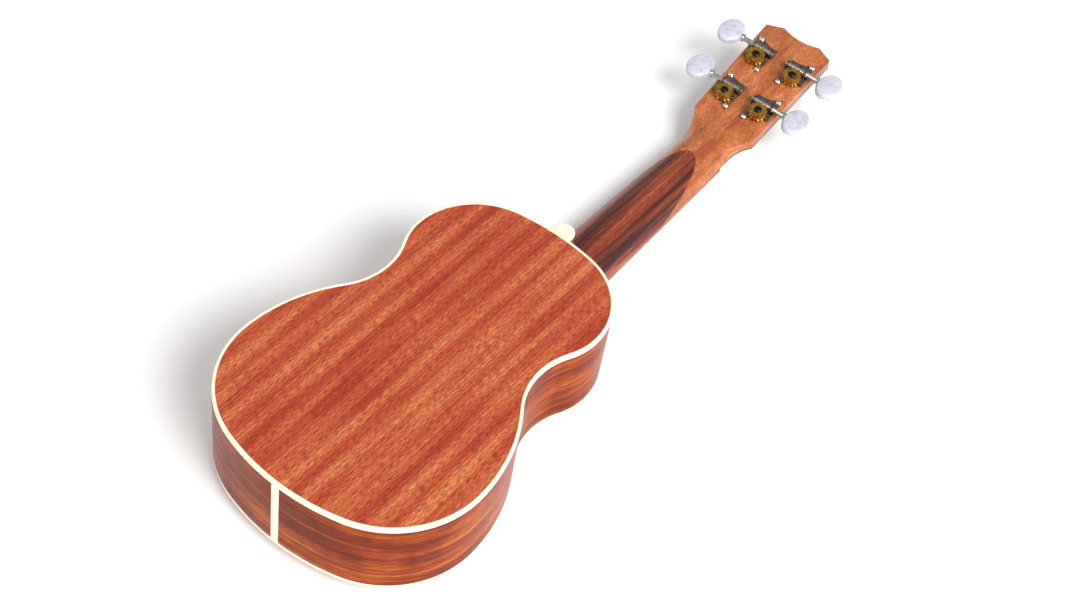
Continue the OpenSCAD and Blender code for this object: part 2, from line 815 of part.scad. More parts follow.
// A button, flat on Z, with its shaft along X: an oval of three arcs between two shallow domes
module button_shape() {
    side_r = arc_through(button_l / 2, button_w / 2 + button_side_reach);
    intersection() {
        linear_extrude(button_t, center = true) intersection() {
            circle(button_w / 2);
            intersection_for (way = [-1, 1]) translate([way * (button_l / 2 - side_r), 0]) circle(side_r);
        }
        intersection_for (way = [-1, 1])
            translate([0, 0, way * (button_face_r - button_t / 2)]) sphere(button_face_r);
    }
}
module tuner_button(k) {
    color(pearl) on_head() at_tuner(k) translate([button_x, worm_v, worm_z]) rotate([button_tip, 0, 0])
        difference() {
            button_shape();
            translate([-button_l, 0, 0]) rotate([0, 90, 0])
                cylinder(h = button_l / 2 + spigot_len, r = spigot_r);
        }
}

gear_bore_r = 2;
tooth_gap_r = 0.85;
module tuner_gear(k) {
    color(brass) on_head() at_tuner(k) translate([0, 0, gear_lift]) difference() {
        cylinder(h = gear_t, r = gear_r);
        translate([0, 0, gear_t / 2]) rotate_extrude() translate([worm_v, 0]) circle(throat_r);
        for (i = [0:gear_teeth - 1]) rotate(360 / gear_teeth * (i + 0.5)) translate([gear_r - 0.1, 0, -1])
            cylinder(h = gear_t + 2, r = tooth_gap_r);
        translate([0, 0, -1]) cylinder(h = gear_t + 2, r = gear_bore_r);
    }
}

gear_screw_r = 1.2;
gear_screw_len = 8;
gear_screw_head_r = 2.8;
gear_screw_head_t = 1.5;
recess = [3.2, 0.7, 1.4];
module tuner_gear_screw(k) {
    color(black) on_head() at_tuner(k) translate([0, 0, gear_lift + gear_t]) {
        translate([0, 0, -gear_screw_len]) cylinder(h = gear_screw_len, r = gear_screw_r);
        difference() {
            intersection() {
                cylinder(h = gear_screw_head_t, r = gear_screw_head_r);
                translate([0, 0, -2.6]) sphere(r = gear_screw_head_r + 1.3);
            }
            for (a = [0, 90])
                rotate(a) translate([0, 0, gear_screw_head_t]) cube(recess, center = true);
        }
    }
}

post_reach = 11;
post_hole_w = -7.6;
post_hole_r = 0.7;
post_chamfer = 0.6;
groove_from = 2.2;
groove_to = 8.6;
groove_slope = 0.4;
post_top = head_t + gear_lift + gear_t - 0.3;
// Half section of the post from its tip beyond the face, up through the headstock, to the gear's seat
post_section = [
    [0, -post_reach], [post_r - post_chamfer, -post_reach], [post_r, post_chamfer - post_reach],
    [post_r, -groove_to - groove_slope], [groove_r, -groove_to], [groove_r, -groove_from],
    [post_r, groove_slope - groove_from], [post_r, head_t + gear_lift], [gear_bore_r, head_t + gear_lift],
    [gear_bore_r, post_top], [0, post_top]
];
module tuner_post(k) {
    color(nickel) on_head() at_tuner(k) translate([0, 0, -head_t]) difference() {
        rotate_extrude() polygon(post_section);
        translate([0, 0, post_hole_w]) rotate([0, 90, 0])
            cylinder(h = 4 * post_r, r = post_hole_r, center = true);
        translate([0, 0, head_t + gear_lift + gear_t - gear_screw_len]) cylinder(h = far, r = gear_screw_r);
    }
}
string_turns = 3;
module tuner_winding(k) {
    d = string_d[k];
    color(nylon) on_head() at_tuner(k) translate([0, 0, -head_t]) {
        for (i = [1:string_turns])
            translate([0, 0, string_w - i * (d + turn_gap)]) rotate_extrude()
                translate([groove_r + turn_gap + d / 2, 0]) circle(d / 2, $fn = 24);
        translate([-post_r - 1.5, 0, post_hole_w]) rotate([0, 90, 0]) cylinder(h = 2 * post_r + 3, d = d);
    }
}
module post_bushings() {
    color(nickel) on_head() for (k = [0:3]) translate([post_x(k), post_v(k), 0]) difference() {
        union() {
            cylinder(h = bush_len, r = bush_r);
            translate([0, 0, -bush_rim_t]) cylinder(h = bush_rim_t, r = bush_rim_r);
        }
        translate([0, 0, -bush_rim_t - 1]) cylinder(h = bush_len + bush_rim_t + 2, r = post_r + running_gap);
    }
}

// ---- Nodes ----
TUNER_PIECES = ["plate", "worm", "button", "gear", "gear_screw", "post", "winding"];

back_plate();
soundboard();
rosette();
rib_right();
rib_left();
tail_strip();
back_binding();
front_binding();
linings();
neck_block();
tail_block();
back_braces();
soundboard_braces();
bridge_plate();
neck_shaft();
heel();
heel_cap();
heel_dowels();
headstock();
headstock_veneer();
fretboard();
frets();
fret_dots();
nut();
bridge();
saddle();
post_bushings();
tuner_screws();
for (k = [0:3]) {
    string(k);
    tuner_plate(k);
    tuner_worm(k);
    tuner_button(k);
    tuner_gear(k);
    tuner_gear_screw(k);
    tuner_post(k);
    tuner_winding(k);
}
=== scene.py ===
import json
import math

import bpy
from mathutils import Matrix, Vector

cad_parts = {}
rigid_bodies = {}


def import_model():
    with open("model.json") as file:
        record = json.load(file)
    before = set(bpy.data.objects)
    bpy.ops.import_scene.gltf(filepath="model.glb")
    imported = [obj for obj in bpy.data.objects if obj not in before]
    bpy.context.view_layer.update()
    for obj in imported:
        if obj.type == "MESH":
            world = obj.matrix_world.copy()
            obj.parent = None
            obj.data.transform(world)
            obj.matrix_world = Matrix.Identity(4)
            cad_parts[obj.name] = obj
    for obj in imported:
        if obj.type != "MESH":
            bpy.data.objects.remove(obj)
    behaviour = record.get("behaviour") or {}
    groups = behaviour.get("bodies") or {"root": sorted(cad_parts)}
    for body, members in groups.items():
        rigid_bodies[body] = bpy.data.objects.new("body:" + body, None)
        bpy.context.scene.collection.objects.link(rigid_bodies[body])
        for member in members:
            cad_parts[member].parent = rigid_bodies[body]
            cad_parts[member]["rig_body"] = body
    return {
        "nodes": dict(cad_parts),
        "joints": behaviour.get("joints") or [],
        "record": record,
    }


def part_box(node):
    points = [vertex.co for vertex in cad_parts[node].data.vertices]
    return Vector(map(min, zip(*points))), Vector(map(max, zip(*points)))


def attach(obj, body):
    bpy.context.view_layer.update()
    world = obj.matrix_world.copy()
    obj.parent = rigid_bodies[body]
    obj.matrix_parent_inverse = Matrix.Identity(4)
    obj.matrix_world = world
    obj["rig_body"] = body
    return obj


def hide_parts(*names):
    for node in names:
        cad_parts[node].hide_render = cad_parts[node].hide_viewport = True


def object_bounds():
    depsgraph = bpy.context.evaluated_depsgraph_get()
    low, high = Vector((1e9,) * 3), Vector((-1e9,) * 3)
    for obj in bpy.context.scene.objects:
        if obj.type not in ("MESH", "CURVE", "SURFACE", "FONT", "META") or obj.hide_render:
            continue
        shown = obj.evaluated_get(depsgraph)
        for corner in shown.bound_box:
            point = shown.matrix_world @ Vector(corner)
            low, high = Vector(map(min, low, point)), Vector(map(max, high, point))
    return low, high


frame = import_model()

# Soprano ukulele on its face: bound mahogany body, spliced neck, four open-gear tuners
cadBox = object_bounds()
nodes = frame["nodes"]
stringNames = ["fourth", "third", "second", "first"]
mm = 0.001


def linear(hexColour):
    # sRGB hex to the linear values that the shader wants
    channels = [int(hexColour[i:i + 2], 16) / 255 for i in (1, 3, 5)]
    return [c / 12.92 if c <= 0.04045 else ((c + 0.055) / 1.055) ** 2.4 for c in channels] + [1]


def addNode(tree, kind, settings=None, links=None):
    # adds a node; settings fill sockets or properties, links join sockets to other nodes' outputs
    node = tree.nodes.new(kind)
    for name, value in (settings or {}).items():
        if name == "stops":
            ramp = node.color_ramp
            while len(ramp.elements) < len(value):
                ramp.elements.new(0.5)
            for element, (place, colour) in zip(ramp.elements, value):
                element.position = place
                element.color = linear(colour)
        elif isinstance(name, int) or name in node.inputs:
            node.inputs[name].default_value = value
        else:
            setattr(node, name, value)
    for name, socket in (links or {}).items():
        tree.links.new(socket, node.inputs[name])
    return node


def newMaterial(name, shaderSettings):
    # a material whose tree holds only its shader, its output and the place on the piece that patterns read
    material = bpy.data.materials.new(name)
    material.use_nodes = True
    tree = material.node_tree
    tree.nodes.clear()
    shader = addNode(tree, "ShaderNodeBsdfPrincipled", shaderSettings)
    addNode(tree, "ShaderNodeOutputMaterial", links={"Surface": shader.outputs[0]})
    place = addNode(tree, "ShaderNodeTexCoord").outputs["Object"]
    return material, tree, shader, place


def selectOnly(piece):
    if bpy.context.mode != "OBJECT":
        bpy.ops.object.mode_set(mode="OBJECT")
    bpy.ops.object.select_all(action="DESELECT")
    piece.select_set(True)
    bpy.context.view_layer.objects.active = piece


def paint(piece, material):
    piece.data.materials.clear()
    piece.data.materials.append(material)


def applyModifier(piece, kind, settings):
    selectOnly(piece)
    modifier = piece.modifiers.new(kind.title(), kind)
    for name, value in settings.items():
        setattr(modifier, name, value)
    bpy.ops.object.modifier_apply(modifier=modifier.name)


def finishPiece(piece, node, material, body):
    # the piece stands for its CAD node, moves with the same body and takes the slot's finish
    paint(piece, material)
    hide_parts(node)
    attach(piece, body)


oneBandPerUnit = math.tau / 20    # the wave node runs through 20 radians in a unit
bandWander = 8                    # the wave node needs this much more distortion than the noise does
poreEdge = 0.12                   # how softly a pore ends, in the noise's own height


def woodMaterial(name, look):
    # Sliced or carved wood under lacquer: broad ribbon figure, finer fibre lines and short dark pores, which
    # are drawn a little wider than real ones so that they show
    material, tree, shader, place = newMaterial(name, {
        "Roughness": look["roughness"], "IOR": 1.5, "Coat Weight": look["lacquer"], "Coat Roughness": 0.12,
        "Coat IOR": 1.5, "Specular IOR Level": look["sheen"]})
    stretched = {}
    noise = {}
    for layer in ("ribbon", "fibre", "pore", "cloud"):
        size = look[layer]    # feature size in mm along X, Y and Z
        stretched[layer] = addNode(tree, "ShaderNodeMapping", {
            "Scale": [1 / (s * mm) for s in size], "Rotation": [0, 0, math.radians(look["lean"])],
            "Location": look["offset"]}, {"Vector": place}).outputs[0]
        noise[layer] = addNode(tree, "ShaderNodeTexNoise", {
            "Scale": 1.0, "Detail": look["detail"][layer], "Roughness": 0.55,
            "Distortion": look["wander"] if layer == "ribbon" else 0.0},
            {"Vector": stretched[layer]}).outputs[0]
    # even bands of interlocked grain, one across each ribbon's width, brought to the noise's narrow range
    bands = addNode(tree, "ShaderNodeTexWave", {
        "Scale": oneBandPerUnit, "Distortion": look["wander"] * bandWander, "Detail": 1.0,
        "Detail Scale": 0.8}, {"Vector": stretched["ribbon"]})
    bandLevel = addNode(tree, "ShaderNodeMapRange", {"To Min": 0.38, "To Max": 0.6},
                        {"Value": bands.outputs[1]}).outputs[0]
    figure = noise["ribbon"]
    shares = (("bandShare", bandLevel), ("fibreShare", noise["fibre"]), ("cloudShare", noise["cloud"]))
    for share, layerOutput in shares:
        figure = addNode(tree, "ShaderNodeMix", {"data_type": "FLOAT", 0: look[share]},
                         {2: figure, 3: layerOutput}).outputs[0]
    tone = addNode(tree, "ShaderNodeValToRGB", {"stops": look["tones"]}, {"Fac": figure})
    poreMask = addNode(tree, "ShaderNodeValToRGB", {
        "stops": [(look["poreCut"], "#ffffff"), (look["poreCut"] + poreEdge, "#000000")]},
        {"Fac": noise["pore"]})
    poreAmount = addNode(tree, "ShaderNodeMath", {"operation": "MULTIPLY", 1: look["poreDepth"]},
                         {0: poreMask.outputs[0]})
    colour = addNode(tree, "ShaderNodeMix", {"data_type": "RGBA", 7: linear(look["poreColour"])},
                     {0: poreAmount.outputs[0], 6: tone.outputs[0]})
    tree.links.new(colour.outputs[2], shader.inputs["Base Color"])
    bump = addNode(tree, "ShaderNodeBump", {"Strength": look["bump"], "Distance": 0.05 * mm, "invert": True},
                   {"Height": poreMask.outputs[0]})
    tree.links.new(bump.outputs[0], shader.inputs["Normal"])
    return material


# In each wood's look, feature sizes are in mm along X, Y and Z, shares run from 0 to 1, and the grain leans
# by degrees.

# Glossed back and soundboard: red-orange mahogany, ribbons about 13 mm wide along the grain
platesLook = {
    "ribbon": (13, 300, 40), "fibre": (0.8, 90, 4), "pore": (0.4, 4.5, 2), "cloud": (30, 60, 60),
    "detail": {"ribbon": 1.5, "fibre": 3.0, "pore": 1.0, "cloud": 2.0},
    "bandShare": 0.6, "fibreShare": 0.38, "cloudShare": 0.15,
    "lean": 2.0, "offset": (3.1, 0.7, 0.0), "wander": 0.25,
    "tones": [(0.41, "#9e331a"), (0.46, "#b34729"), (0.52, "#c66239"), (0.58, "#d6824f")],
    "poreCut": 0.43, "poreDepth": 0.7, "poreColour": "#6e2110", "bump": 0.1,
    "roughness": 0.34, "sheen": 0.3, "lacquer": 0.16}
# Bent ribs: browner, with the grain running round the sides
ribsLook = {
    "ribbon": (160, 160, 9), "fibre": (70, 70, 1.1), "pore": (8, 8, 0.5), "cloud": (22, 22, 40),
    "detail": {"ribbon": 2.5, "fibre": 4.0, "pore": 2.0, "cloud": 2.5},
    "bandShare": 0.0, "fibreShare": 0.5, "cloudShare": 0.2,
    "lean": 0.0, "offset": (0.3, 1.9, 0.4), "wander": 0.5,
    "tones": [(0.4, "#671b05"), (0.465, "#852d09"), (0.53, "#a7480f"), (0.6, "#c66e20")],
    "poreCut": 0.46, "poreDepth": 0.5, "poreColour": "#4f1c0a", "bump": 0.1,
    "roughness": 0.32, "sheen": 0.08, "lacquer": 0.03}
# Neck shaft: dark red-brown with long nearly black streaks, rubbed satin
neckLook = {
    "ribbon": (6, 260, 9), "fibre": (1.2, 50, 1.5), "pore": (0.5, 6, 0.6), "cloud": (30, 120, 30),
    "detail": {"ribbon": 2.5, "fibre": 4.0, "pore": 2.0, "cloud": 2.0},
    "bandShare": 0.0, "fibreShare": 0.3, "cloudShare": 0.12,
    "lean": 1.0, "offset": (1.2, 0.2, 2.2), "wander": 0.3,
    "tones": [(0.4, "#3a1611"), (0.47, "#6b2c1c"), (0.54, "#8f4028"), (0.62, "#ae5a38")],
    "poreCut": 0.42, "poreDepth": 0.5, "poreColour": "#34130d", "bump": 0.3,
    "roughness": 0.42, "sheen": 0.3, "lacquer": 0.15}
# Headstock: paler orange-brown, mottled, with short pores
headLook = {
    "ribbon": (14, 120, 20), "fibre": (1.3, 24, 2), "pore": (0.7, 3.2, 0.8), "cloud": (8, 14, 12),
    "detail": {"ribbon": 3.0, "fibre": 4.0, "pore": 2.0, "cloud": 3.0},
    "bandShare": 0.0, "fibreShare": 0.3, "cloudShare": 0.25,
    "lean": 0.0, "offset": (0.8, 0.5, 0.1), "wander": 0.6,
    "tones": [(0.4, "#954a26"), (0.47, "#ad6136"), (0.54, "#c17242"), (0.62, "#d48f5c")],
    "poreCut": 0.43, "poreDepth": 0.5, "poreColour": "#7a3a1c", "bump": 0.3,
    "roughness": 0.4, "sheen": 0.3, "lacquer": 0.2}
# Fretboard: plain-sawn reddish padauk, oiled and nearly without gloss
boardLook = {
    "ribbon": (8, 160, 8), "fibre": (1.1, 40, 1.2), "pore": (0.5, 5, 0.6), "cloud": (30, 90, 30),
    "detail": {"ribbon": 3.0, "fibre": 4.0, "pore": 2.0, "cloud": 2.0},
    "bandShare": 0.0, "fibreShare": 0.35, "cloudShare": 0.15,
    "lean": 0.0, "offset": (2.0, 0.1, 0.9), "wander": 0.3,
    "tones": [(0.4, "#6b3522"), (0.47, "#8a4a2e"), (0.54, "#a86040"), (0.62, "#bd7a55")],
    "poreCut": 0.42, "poreDepth": 0.5, "poreColour": "#3a1d14", "bump": 0.35,
    "roughness": 0.5, "sheen": 0.3, "lacquer": 0.05}
# Bridge and headstock face: sawn rosewood, oiled, dark with nearly black streaks
rosewoodLook = {
    "ribbon": (4, 120, 6), "fibre": (0.9, 40, 1.2), "pore": (0.5, 5, 0.6), "cloud": (25, 80, 25),
    "detail": {"ribbon": 3.0, "fibre": 4.0, "pore": 2.0, "cloud": 2.0},
    "bandShare": 0.0, "fibreShare": 0.3, "cloudShare": 0.15,
    "lean": 0.0, "offset": (1.4, 0.6, 0.2), "wander": 0.4,
    "tones": [(0.4, "#1f110d"), (0.47, "#3b2018"), (0.54, "#553024"), (0.62, "#704332")],
    "poreCut": 0.42, "poreDepth": 0.5, "poreColour": "#160b08", "bump": 0.35,
    "roughness": 0.45, "sheen": 0.3, "lacquer": 0.1}
# Blocks, linings and braces: pale spruce, left raw
innerLook = {
    "ribbon": (3, 200, 3), "fibre": (1.0, 60, 1.0), "pore": (0.4, 8, 0.4), "cloud": (40, 90, 40),
    "detail": {"ribbon": 2.0, "fibre": 3.0, "pore": 2.0, "cloud": 2.0},
    "bandShare": 0.0, "fibreShare": 0.3, "cloudShare": 0.2,
    "lean": 0.0, "offset": (0.2, 0.3, 0.6), "wander": 0.2,
    "tones": [(0.4, "#c9a873"), (0.47, "#d6b886"), (0.54, "#dfc596"), (0.62, "#e9d4ab")],
    "poreCut": 0.38, "poreDepth": 0.3, "poreColour": "#b48f5a", "bump": 0.2,
    "roughness": 0.6, "sheen": 0.3, "lacquer": 0.0}


def creamBinding():
    # Extruded cream binding, scraped flush and lacquered: warm white with hardly any mottling
    material, tree, shader, place = newMaterial("ivory ABS binding", {
        "Roughness": 0.28, "IOR": 1.53, "Subsurface Weight": 0.12, "Subsurface Scale": 1.5 * mm,
        "Coat Weight": 0.25, "Coat Roughness": 0.1})
    mottle = addNode(tree, "ShaderNodeTexNoise", {"Scale": 1 / (6 * mm), "Detail": 3.0}, {"Vector": place})
    tone = addNode(tree, "ShaderNodeValToRGB", {
        "stops": [(0.3, "#e4dcc0"), (0.5, "#ece5cb"), (0.7, "#f2ecd6")]}, {"Fac": mottle.outputs[0]})
    tree.links.new(tone.outputs[0], shader.inputs["Base Color"])
    return material


def pearloidCelluloid():
    # Buttons cut from pearly celluloid: milky lilac-white with soft folded clouds, polished
    material, tree, shader, place = newMaterial("pearloid celluloid", {
        "Roughness": 0.16, "IOR": 1.5, "Subsurface Weight": 0.35, "Subsurface Scale": 3 * mm,
        "Subsurface Radius": (1.0, 0.95, 1.0), "Coat Weight": 0.5, "Coat Roughness": 0.05,
        "Sheen Weight": 0.15})
    folds = addNode(tree, "ShaderNodeTexNoise", {"Scale": 1 / (5 * mm), "Detail": 3.0, "Distortion": 1.6},
                    {"Vector": place})
    tone = addNode(tree, "ShaderNodeValToRGB", {
        "stops": [(0.36, "#b3b2c3"), (0.46, "#bfbecd"), (0.56, "#cccbd8"), (0.66, "#b9b8c9")]},
        {"Fac": folds.outputs[0]})
    tree.links.new(tone.outputs[0], shader.inputs["Base Color"])
    return material


def polishedBone():
    # Bleached and polished bone for nut and saddle: off-white with fine lengthwise marks
    material, tree, shader, place = newMaterial("polished bone", {
        "Roughness": 0.35, "IOR": 1.54, "Subsurface Weight": 0.1, "Subsurface Scale": 1 * mm})
    mapping = addNode(tree, "ShaderNodeMapping", {"Scale": (1 / (9 * mm), 1 / (0.8 * mm), 1 / (0.8 * mm))},
                      {"Vector": place})
    marks = addNode(tree, "ShaderNodeTexNoise", {"Scale": 1.0, "Detail": 3.0},
                    {"Vector": mapping.outputs[0]})
    tone = addNode(tree, "ShaderNodeValToRGB", {
        "stops": [(0.32, "#ded3b6"), (0.5, "#ece4cd"), (0.7, "#f5f0e0")]}, {"Fac": marks.outputs[0]})
    tree.links.new(tone.outputs[0], shader.inputs["Base Color"])
    return material


def clearNylon():
    # Drawn nylon: milky, slightly see-through and smooth
    material, tree, shader, place = newMaterial("drawn nylon", {
        "Roughness": 0.25, "IOR": 1.53, "Transmission Weight": 0.35})
    cloud = addNode(tree, "ShaderNodeTexNoise", {"Scale": 1 / (12 * mm), "Detail": 2.0}, {"Vector": place})
    tone = addNode(tree, "ShaderNodeValToRGB", {
        "stops": [(0.35, "#dcdad2"), (0.65, "#f2f0ea")]}, {"Fac": cloud.outputs[0]})
    tree.links.new(tone.outputs[0], shader.inputs["Base Color"])
    return material


def metalMaterial(name, look):
    # Plated or solid metal: patches dulled by handling vary its colour and roughness a little; its tumbling
    # marks are drawn coarser than real ones so that they show
    material, tree, shader, place = newMaterial(name, {"Metallic": look["metallic"]})
    patches = addNode(tree, "ShaderNodeTexNoise", {"Scale": 1 / (look["patch"] * mm), "Detail": 3.0},
                      {"Vector": place})
    tone = addNode(tree, "ShaderNodeValToRGB", {"stops": look["tones"]}, {"Fac": patches.outputs[0]})
    rough = addNode(tree, "ShaderNodeMapRange", {
        "From Min": 0.3, "From Max": 0.7, "To Min": look["rough"][0], "To Max": look["rough"][1]},
        {"Value": patches.outputs[0]})
    grit = addNode(tree, "ShaderNodeTexNoise", {"Scale": 1 / (0.35 * mm), "Detail": 2.0}, {"Vector": place})
    bump = addNode(tree, "ShaderNodeBump", {"Strength": 0.12, "Distance": 0.02 * mm},
                   {"Height": grit.outputs[0]})
    tree.links.new(tone.outputs[0], shader.inputs["Base Color"])
    tree.links.new(rough.outputs[0], shader.inputs["Roughness"])
    tree.links.new(bump.outputs[0], shader.inputs["Normal"])
    return material


# A metal's look: patch size in mm, and roughness from its smoothest to its dullest patches
nickelLook = {"metallic": 1.0, "patch": 4, "rough": (0.12, 0.22),
              "tones": [(0.3, "#c3c2c0"), (0.7, "#dcdbd8")]}
plateLook = {"metallic": 1.0, "patch": 3, "rough": (0.2, 0.36),
             "tones": [(0.35, "#5f5953"), (0.65, "#8d867e")]}
fretLook = {"metallic": 1.0, "patch": 5, "rough": (0.2, 0.3),
            "tones": [(0.3, "#b5b1a8"), (0.7, "#cdc9c0")]}
brassLook = {"metallic": 1.0, "patch": 2.5, "rough": (0.18, 0.32),
             "tones": [(0.35, "#a06f22"), (0.65, "#d6a64a")]}
blackLook = {"metallic": 0.7, "patch": 2, "rough": (0.35, 0.5),
             "tones": [(0.3, "#0c0c0e"), (0.7, "#232326")]}

materials = {
    "back_wood": woodMaterial("ribbon mahogany lacquered", platesLook),
    "side_wood": woodMaterial("bent mahogany lacquered", ribsLook),
    "neck_wood": woodMaterial("dark mahogany satin", neckLook),
    "headstock_wood": woodMaterial("pale mahogany satin", headLook),
    "board_wood": woodMaterial("padauk board oiled", boardLook),
    "dark_wood": woodMaterial("rosewood oiled", rosewoodLook),
    "pale_wood": woodMaterial("spruce raw", innerLook),
    "cream_plastic": creamBinding(),
    "pearl": pearloidCelluloid(),
    "bone": polishedBone(),
    "string": clearNylon(),
    "nickel": metalMaterial("nickel plated steel", nickelLook),
    "plate_metal": metalMaterial("aged nickel plate", plateLook),
    "fret_metal": metalMaterial("nickel silver wire", fretLook),
    "brass": metalMaterial("brass machined", brassLook),
    "black_metal": metalMaterial("blackened steel", blackLook)}
materials["front_wood"] = materials["back_wood"]
for part in frame["record"]["subparts"]:
    paint(nodes[part["node"]], materials[part["material_slot"]])
print("materials done")


easedEdges = {
    # node: radius of the eased edge in mm, distance under which loose points are merged in mm
    "back_binding": (0.7, 0.05), "front_binding": (0.7, 0.05), "heel_cap": (0.4, 0.01),
    "headstock": (0.6, 0.01), "bridge": (0.5, 0.01), "nut": (0.3, 0.01), "tail_strip": (0.15, 0.01)}
tunerEasedEdges = {"plate": (0.22, 0.002), "gear": (0.2, 0.002), "gear_screw": (0.2, 0.002)}


def ownCopy(source, name):
    piece = source.copy()
    piece.data = source.data.copy()
    piece.name = name
    bpy.context.scene.collection.objects.link(piece)
    return piece


def roundEdges(piece, radius, segments, angle):
    # rounds the edges whose faces turn by more than the angle, in degrees; the radius is in mm
    applyModifier(piece, "BEVEL", {
        "width": radius * mm, "segments": segments, "limit_method": "ANGLE",
        "angle_limit": math.radians(angle), "use_clamp_overlap": True})


def shadeSmooth(piece, angle):
    # smooth shading but over edges sharper than the angle, in degrees
    selectOnly(piece)
    bpy.ops.object.shade_smooth_by_angle(angle=math.radians(angle))


def easedCopy(node, radius, mergeDistance):
    # a copy of the CAD node without its tags, merged to whole faces and with its edges rounded
    source = nodes[node]
    piece = ownCopy(source, node + "_eased")
    piece.parent = None
    for key in list(piece.keys()):
        del piece[key]
    selectOnly(piece)
    bpy.ops.object.mode_set(mode="EDIT")
    bpy.ops.mesh.select_all(action="SELECT")
    bpy.ops.mesh.remove_doubles(threshold=mergeDistance * mm)
    bpy.ops.mesh.dissolve_limited(angle_limit=math.radians(0.5))
    bpy.ops.object.mode_set(mode="OBJECT")
    roundEdges(piece, radius, 3, 35)
    shadeSmooth(piece, 30)
    slot = next(p["material_slot"] for p in frame["record"]["subparts"] if p["node"] == node)
    finishPiece(piece, node, materials[slot], source["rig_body"])


for node, (radius, mergeDistance) in easedEdges.items():
    easedCopy(node, radius, mergeDistance)
for name in stringNames:
    for part, (radius, mergeDistance) in tunerEasedEdges.items():
        easedCopy(f"tuner_{name}_{part}", radius, mergeDistance)
print("eased edges done")

shaft = {
    # the worm shaft, in mm: radii of its journal, shank, collar, and spigot, which goes into the button;
    # where the shank starts, the length of the stub that all is drawn out of, and the rounding of its edges
    "journal": 1.45, "shank": 2.0, "collar": 2.9, "collarLength": 1.8, "spigot": 1.4, "spigotLength": 8.0,
    "shankFrom": 7.05, "stub": 1.0, "easing": 0.15, "sides": 40}
thread = {
    # the worm's thread, in mm: crest and root are radii, and it starts at "from" along the shaft
    "pitch": 1.45, "turns": 9, "crest": 2.12, "root": 1.35, "crestWidth": 0.3, "rootWidth": 1.0,
    "from": -7.3, "steps": 20}
button = {
    # in mm: the rim is a radius and the crown the rise of each face; in degrees: the tilt round the shaft,
    # and the angle whose cosine gives the last and smallest of the crown's rings
    "across": 24.0, "thickness": 7.0, "rim": 2.0, "crown": 0.6, "rings": 4, "lastRing": 80.0, "tilt": -8.0,
    "sides": 72}


def mergeAndTurnOut(piece):
    selectOnly(piece)
    bpy.ops.object.mode_set(mode="EDIT")
    bpy.ops.mesh.select_all(action="SELECT")
    bpy.ops.mesh.remove_doubles(threshold=0.001 * mm)
    bpy.ops.mesh.normals_make_consistent(inside=False)
    bpy.ops.object.mode_set(mode="OBJECT")


def selectFaces(piece, wanted):
    # selects in edit mode the faces for which wanted(face) holds
    bpy.ops.mesh.select_mode(type="FACE")
    bpy.ops.mesh.select_all(action="DESELECT")
    bpy.ops.object.mode_set(mode="OBJECT")
    for face in piece.data.polygons:
        face.select = wanted(face)
    bpy.ops.object.mode_set(mode="EDIT")


def turnShaft(near, far):
    # the plain shaft along Z, from its inner end at far to the button at near: a stub, and then each stage
    # is drawn out of the last one's end face and made wider or narrower
    collarFrom = near - shaft["collarLength"]
    stages = [(shaft["shankFrom"], shaft["journal"]), (shaft["shankFrom"], shaft["shank"]),
              (collarFrom, shaft["shank"]), (collarFrom, shaft["collar"]), (near, shaft["collar"]),
              (near, shaft["spigot"]), (near + shaft["spigotLength"], shaft["spigot"])]
    bpy.ops.object.select_all(action="DESELECT")
    bpy.ops.mesh.primitive_cylinder_add(
        vertices=shaft["sides"], radius=shaft["journal"] * mm, depth=shaft["stub"] * mm,
        location=(0, 0, (far + shaft["stub"] / 2) * mm))
    piece = bpy.context.object
    bpy.ops.object.transform_apply()
    bpy.ops.object.mode_set(mode="EDIT")
    selectFaces(piece, lambda face: face.normal.z > 0.9)
    height, radius = far + shaft["stub"], shaft["journal"]
    for stageHeight, stageRadius in stages:
        bpy.ops.mesh.extrude_region_move(
            TRANSFORM_OT_translate={"value": (0, 0, (stageHeight - height) * mm)})
        bpy.ops.transform.resize(value=(stageRadius / radius, stageRadius / radius, 1),
                                 center_override=(0, 0, stageHeight * mm))
        height, radius = stageHeight, stageRadius
    bpy.ops.object.mode_set(mode="OBJECT")
    roundEdges(piece, shaft["easing"], 3, 50)
    return piece


def cutThread():
    # a right-hand thread round Z: a wedge section carried round the axis and up by one pitch a turn
    middle = (thread["crest"] + thread["root"]) / 2
    bpy.ops.object.select_all(action="DESELECT")
    bpy.ops.mesh.primitive_plane_add(
        size=1 * mm, location=(middle * mm, 0, thread["from"] * mm), rotation=(math.radians(90), 0, 0))
    piece = bpy.context.object
    bpy.ops.object.transform_apply()
    bpy.ops.object.mode_set(mode="EDIT")
    bpy.ops.mesh.select_all(action="SELECT")
    centre = (middle * mm, 0, thread["from"] * mm)
    bpy.ops.transform.resize(value=(thread["crest"] - thread["root"], 1, thread["rootWidth"]),
                             center_override=centre)
    bpy.ops.mesh.select_mode(type="VERT")
    bpy.ops.mesh.select_all(action="DESELECT")
    bpy.ops.object.mode_set(mode="OBJECT")
    for vertex in piece.data.vertices:
        vertex.select = vertex.co.x > middle * mm
    bpy.ops.object.mode_set(mode="EDIT")
    bpy.ops.transform.resize(value=(1, 1, thread["crestWidth"] / thread["rootWidth"]),
                             center_override=centre)
    bpy.ops.mesh.select_all(action="SELECT")
    bpy.ops.mesh.delete(type="ONLY_FACE")
    bpy.ops.object.mode_set(mode="OBJECT")
    applyModifier(piece, "SCREW", {
        "axis": "Z", "angle": math.radians(360), "screw_offset": thread["pitch"] * mm,
        "iterations": thread["turns"], "steps": thread["steps"], "render_steps": thread["steps"],
        "use_merge_vertices": False})
    selectOnly(piece)
    bpy.ops.object.mode_set(mode="EDIT")
    bpy.ops.mesh.select_all(action="SELECT")
    bpy.ops.mesh.fill_holes(sides=6)
    bpy.ops.object.mode_set(mode="OBJECT")
    return piece


